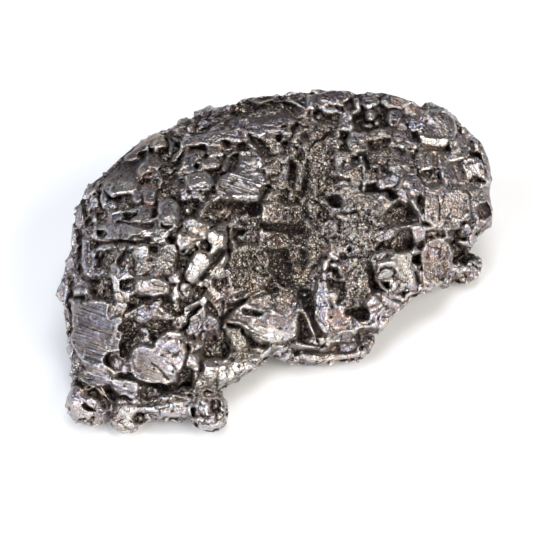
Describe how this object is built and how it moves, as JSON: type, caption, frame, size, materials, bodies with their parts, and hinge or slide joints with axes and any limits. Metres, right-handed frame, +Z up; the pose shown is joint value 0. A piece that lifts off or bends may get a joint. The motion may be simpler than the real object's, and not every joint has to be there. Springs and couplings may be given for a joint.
{
  "type": "iron meteorite",
  "caption": "Cleaned iron meteorite: a lumpy, pitted piece of nickel iron with two high lobes, a low saddle between them and knobs it rests on.",
  "frame": {"origin": "middle of the bounding box at the height of the flat worn patches that the stone rests on", "axes": "+Z up, +X to the right along the longest extent, -Y toward the side that the picture shows best"},
  "size_m": [0.0742, 0.0642, 0.0263],
  "materials": {
    "nickel_iron": "cleaned nickel iron, worn bright on the lumps, with brown oxide left in the pits"
  },
  "bodies": {
    "root": {"meteorite": "nickel_iron"}
  },
  "joints": []
}
